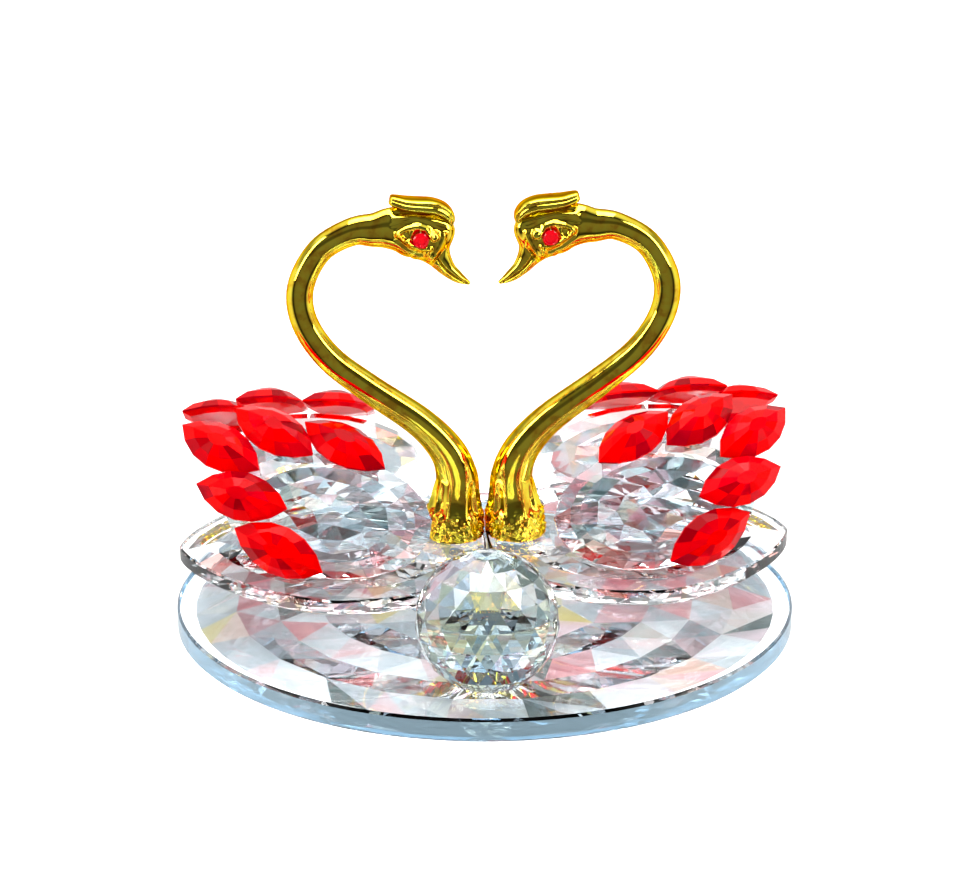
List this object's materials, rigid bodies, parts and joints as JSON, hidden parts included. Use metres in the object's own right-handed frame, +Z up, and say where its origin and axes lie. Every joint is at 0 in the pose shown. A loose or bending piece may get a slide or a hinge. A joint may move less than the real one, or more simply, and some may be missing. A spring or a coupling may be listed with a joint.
{
  "type": "crystal swan figurine",
  "caption": "Pair of faceted crystal swans with gilt necks that form a heart and red feather stones, on a round glass base with a cut glass ball in front.",
  "frame": {"origin": "middle of the underside of the round base plate", "axes": "+Z up, +X to the right seen from the front, -Y towards the front, where the ball stands"},
  "size_m": [0.12, 0.12, 0.0832],
  "materials": {
    "base_glass": "polished",
    "clear_glass": "polished",
    "red_glass": "polished",
    "eye_glass": "polished",
    "gilt": "polished"
  },
  "bodies": {
    "root": {"base_plate": "base_glass", "front_ball": "clear_glass", "foot_stone_left": "clear_glass", "foot_stone_right": "clear_glass", "body_plate_left": "clear_glass", "body_plate_right": "clear_glass", "wing_left_front": "clear_glass", "wing_left_back": "clear_glass", "wing_right_front": "clear_glass", "wing_right_back": "clear_glass", "feather_left_front_1": "red_glass", "feather_left_front_2": "red_glass", "feather_left_front_3": "red_glass", "feather_left_front_4": "red_glass", "feather_left_front_5": "red_glass", "feather_left_back_1": "red_glass", "feather_left_back_2": "red_glass", "feather_left_back_3": "red_glass", "feather_left_back_4": "red_glass", "feather_left_back_5": "red_glass", "feather_right_front_1": "red_glass", "feather_right_front_2": "red_glass", "feather_right_front_3": "red_glass", "feather_right_front_4": "red_glass", "feather_right_front_5": "red_glass", "feather_right_back_1": "red_glass", "feather_right_back_2": "red_glass", "feather_right_back_3": "red_glass", "feather_right_back_4": "red_glass", "feather_right_back_5": "red_glass", "neck_left": "gilt", "neck_right": "gilt", "eye_left_front": "eye_glass", "eye_left_back": "eye_glass", "eye_right_front": "eye_glass", "eye_right_back": "eye_glass"}
  },
  "joints": []
}
